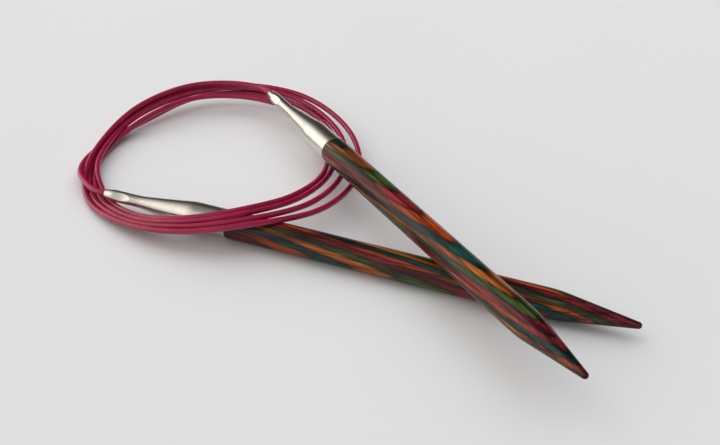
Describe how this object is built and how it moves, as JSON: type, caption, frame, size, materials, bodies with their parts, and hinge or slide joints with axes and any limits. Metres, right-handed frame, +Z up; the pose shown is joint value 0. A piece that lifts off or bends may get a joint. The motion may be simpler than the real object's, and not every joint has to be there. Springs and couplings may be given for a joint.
{
  "type": "circular knitting needle",
  "caption": "Laminated-wood knitting needles with metal ferrules at both ends of a long nylon cable, laid down with the cable coiled in a ring.",
  "frame": {"origin": "On the table, at the middle of the box round the two needles.", "axes": "+X along the needle that lies on the table, towards its point. +Z up."},
  "size_m": [0.1293, 0.0771, 0.0131],
  "materials": {
    "cable": "satin",
    "ferrule": "nickel_plated",
    "tenon": "raw",
    "veneer_maroon": "lacquered",
    "veneer_orange": "lacquered",
    "veneer_teal": "lacquered",
    "veneer_amber": "lacquered",
    "veneer_green": "lacquered"
  },
  "bodies": {
    "cable": {"cable_coil": "cable", "cable_lead_a": "cable", "cable_lead_b": "cable", "cable_end_a": "cable"},
    "needle_a": {"ferrule_a": "ferrule", "veneer_a_01_maroon": "veneer_maroon", "veneer_a_02_orange": "veneer_orange", "veneer_a_03_teal": "veneer_teal", "veneer_a_04_amber": "veneer_amber", "veneer_a_05_green": "veneer_green", "veneer_a_06_maroon": "veneer_maroon", "veneer_a_07_orange": "veneer_orange", "veneer_a_08_teal": "veneer_teal", "veneer_a_09_amber": "veneer_amber", "veneer_a_10_green": "veneer_green", "veneer_a_11_maroon": "veneer_maroon", "veneer_a_12_orange": "veneer_orange", "veneer_a_13_teal": "veneer_teal", "wooden_tenon_a": "tenon"},
    "cable_neck_b": {"cable_neck_b": "cable"},
    "cable_end_b": {"cable_end_b": "cable"},
    "needle_b": {"ferrule_b": "ferrule", "veneer_b_01_amber": "veneer_amber", "veneer_b_02_green": "veneer_green", "veneer_b_03_maroon": "veneer_maroon", "veneer_b_04_orange": "veneer_orange", "veneer_b_05_teal": "veneer_teal", "veneer_b_06_amber": "veneer_amber", "veneer_b_07_green": "veneer_green", "veneer_b_08_maroon": "veneer_maroon", "veneer_b_09_orange": "veneer_orange", "veneer_b_10_teal": "veneer_teal", "veneer_b_11_amber": "veneer_amber", "veneer_b_12_green": "veneer_green", "veneer_b_13_maroon": "veneer_maroon", "wooden_tenon_b": "tenon"}
  },
  "joints": [
    {"name": "needle_a_roll", "type": "hinge", "parent": "cable", "child": "needle_a", "pos_m": [-0.0575, -0.01002, 0.00299], "axis": [1, 0, 0], "range_deg": [-90, 90]},
    {"name": "needle_b_swing", "type": "hinge", "parent": "cable", "child": "cable_neck_b", "pos_m": [-0.03882, 0.03431, 0.00692], "axis": [0, 0, 1], "range_deg": [-4, 12]},
    {"name": "needle_b_lift", "type": "hinge", "parent": "cable_neck_b", "child": "cable_end_b", "pos_m": [-0.03882, 0.03431, 0.00692], "axis": [-0.6074, -0.7944, 0], "range_deg": [0, 30]},
    {"name": "needle_b_roll", "type": "hinge", "parent": "cable_end_b", "child": "needle_b", "pos_m": [-0.03882, 0.03431, 0.00692], "axis": [0.794, -0.607, 0.0328], "range_deg": [-90, 90]}
  ]
}
